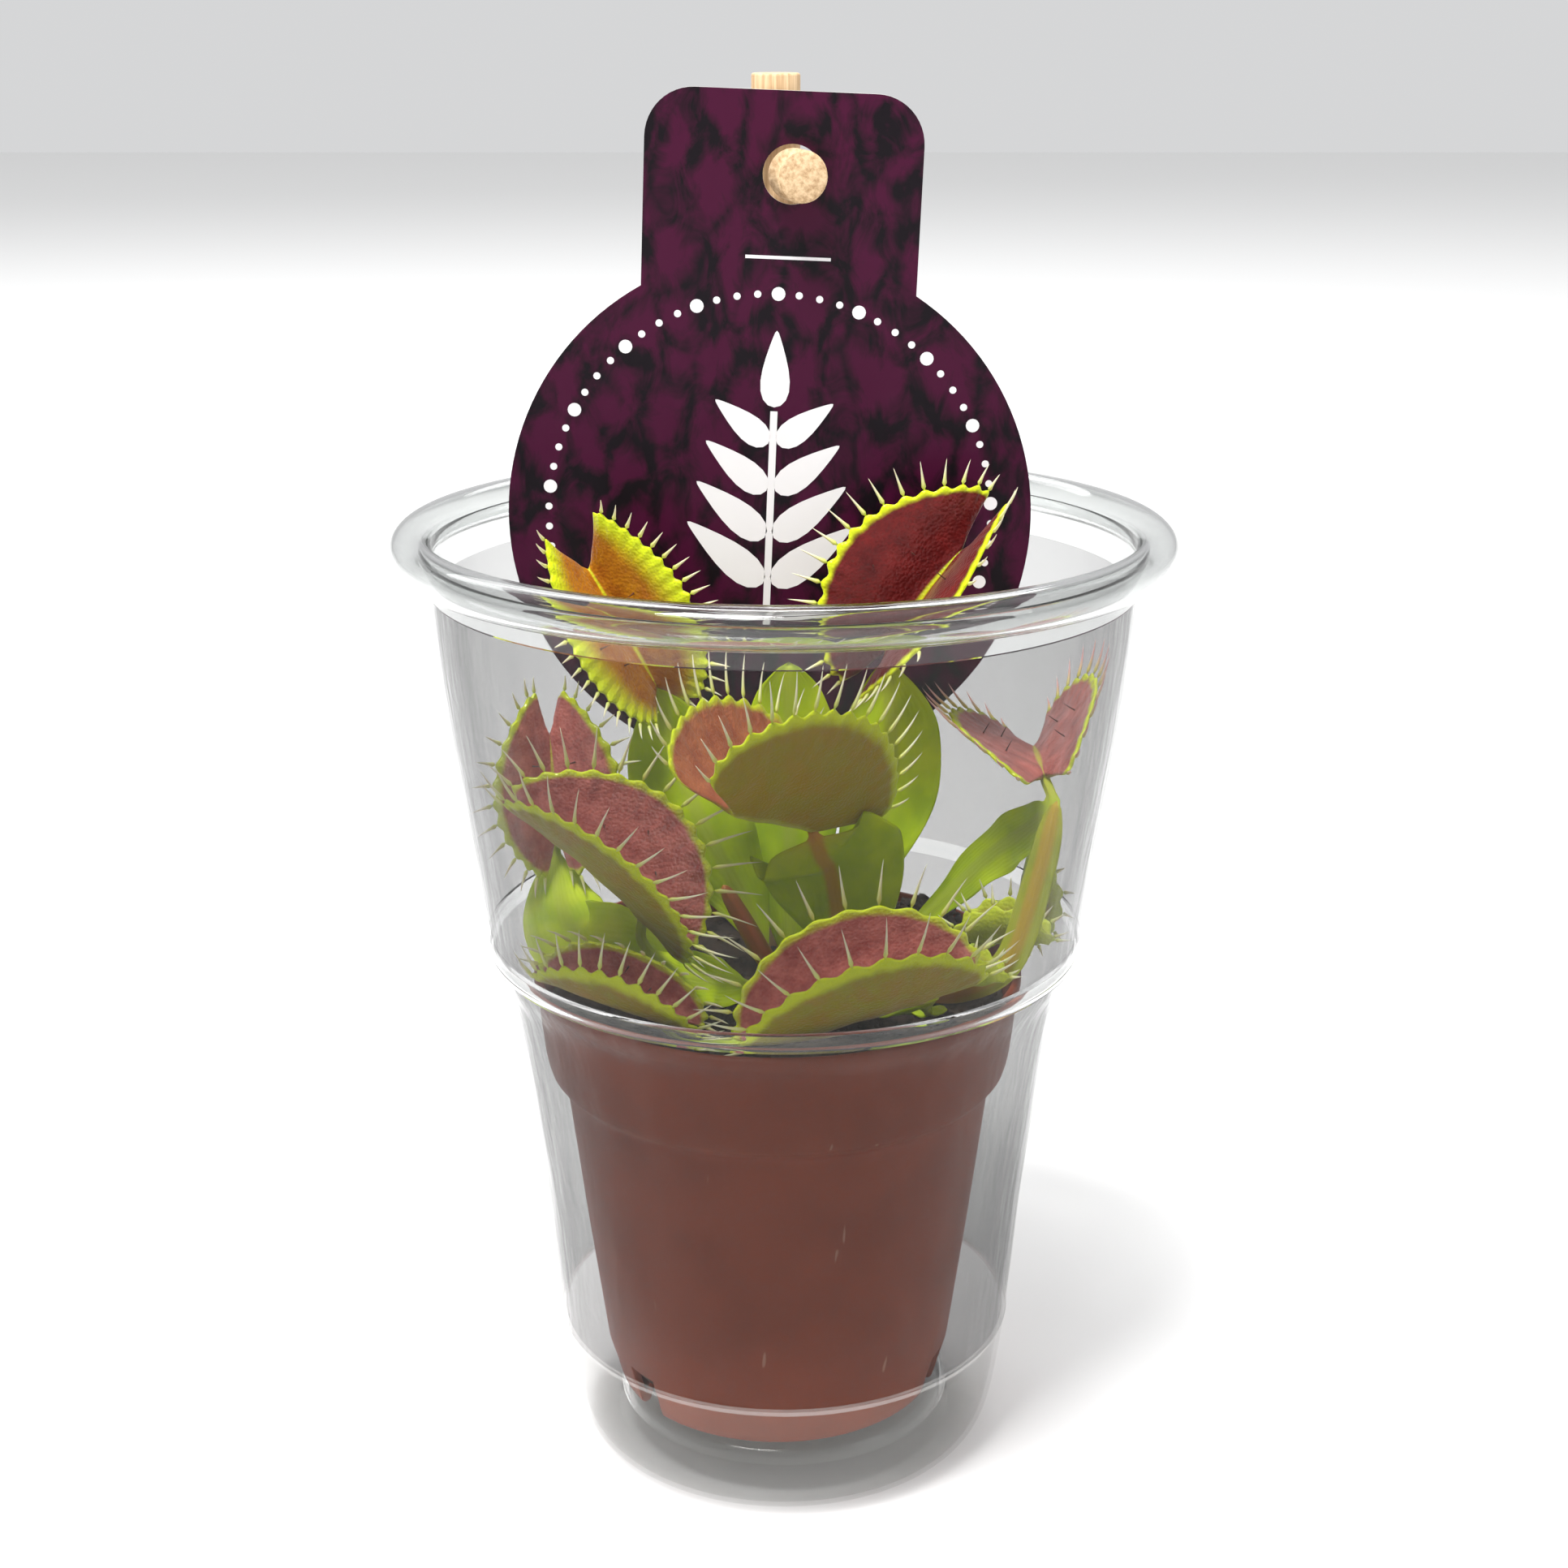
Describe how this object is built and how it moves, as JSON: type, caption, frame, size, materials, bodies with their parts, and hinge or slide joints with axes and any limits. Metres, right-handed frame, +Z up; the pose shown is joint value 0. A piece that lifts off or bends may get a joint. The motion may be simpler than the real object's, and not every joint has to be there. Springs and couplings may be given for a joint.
{
  "type": "potted venus flytrap",
  "caption": "Carnivorous rosette plant with toothed snap traps, in a brown nursery pot inside a clear flared cup, with a round-bottomed card tag pegged to a wooden stick.",
  "frame": {"origin": "centre of the clear cup's base, in the plane that it stands on", "axes": "+Z up; the tag's printed face looks along -Y, the side that the picture shows; +X to the right of that view"},
  "size_m": [0.095, 0.095, 0.1727],
  "materials": {
    "clear_plastic": "clear thin-wall plastic, polished, faint grey cast",
    "pot_plastic": "satin moulded terracotta-brown plastic, light scuffs",
    "peat": "damp crumbly dark peat, no sheen",
    "printed_card": "coated card, mottled dark purple and black print, white cut edge",
    "bare_wood": "raw pale dowel, straight grain",
    "leaf_green": "fresh bright green leaf, soft waxy sheen",
    "trap_red": "maroon lining with pinkish gloss, yellow-green rim and teeth, olive outside",
    "trap_orange": "orange-brown lining, broad yellow-green rim",
    "trap_green": "small green trap, pale teeth",
    "shoot_red": "reddish young shoot, satin"
  },
  "bodies": {
    "root": {"cup": "clear_plastic", "pot": "pot_plastic", "soil": "peat", "tag": "printed_card", "stick": "bare_wood", "stick_peg": "bare_wood", "leaf_front": "leaf_green", "trap_front": "trap_red", "leaf_left_front": "leaf_green", "trap_left_front": "trap_red", "leaf_left": "leaf_green", "trap_left": "trap_red", "leaf_back_left": "leaf_green", "trap_back_left": "trap_orange", "leaf_back_right": "leaf_green", "trap_back_right": "trap_red", "leaf_centre": "leaf_green", "trap_centre": "trap_red", "leaf_right": "leaf_green", "trap_right": "trap_red", "leaf_small_closed": "leaf_green", "trap_small_closed": "trap_green", "leaf_small_right": "leaf_green", "trap_small_right": "trap_green", "leaf_low_left": "leaf_green", "trap_low_left": "trap_red", "leaf_small_front": "leaf_green", "trap_small_front": "trap_green", "leaf_young": "leaf_green", "leaf_red_shoot": "shoot_red", "leaf_back": "leaf_green"}
  },
  "joints": []
}
